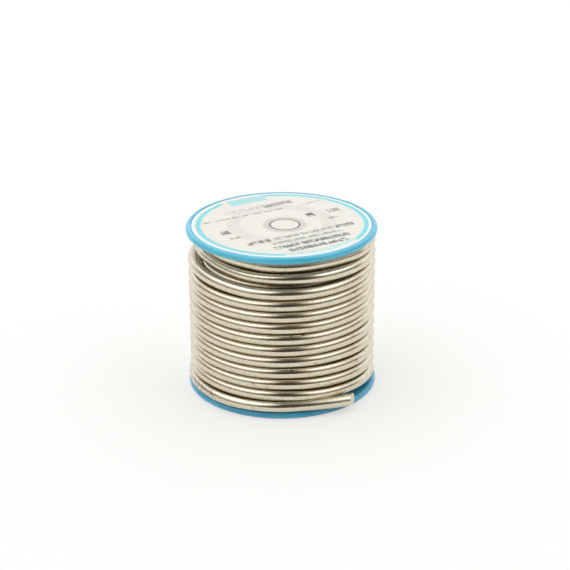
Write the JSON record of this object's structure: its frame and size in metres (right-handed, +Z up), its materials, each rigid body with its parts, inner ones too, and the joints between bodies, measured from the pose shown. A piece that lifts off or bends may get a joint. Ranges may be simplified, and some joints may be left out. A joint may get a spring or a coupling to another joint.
{
  "type": "solder wire spool",
  "caption": "Round plastic spool with two flanges, a label on top and thick bright solder wire wound between them, its cut end loose at the lower flange.",
  "frame": {"origin": "middle of the lower flange's underside, on which the spool stands", "axes": "+Z up along the spool's axis towards the label; -Y towards the front, where the wire's cut end lies a little to the right"},
  "size_m": [0.044, 0.0445, 0.0391],
  "materials": {
    "blue_plastic": "glossy moulded plastic",
    "label_paper": "satin coated paper with a pale cyan ring",
    "solder": "bright, slightly warm drawn metal"
  },
  "bodies": {
    "root": {"lower_spool_half": "blue_plastic", "upper_spool_half": "blue_plastic", "paper_label": "label_paper", "solder_inner_layers": "solder", "solder_outer_layer": "solder", "solder_start_tail": "solder"}
  },
  "joints": []
}
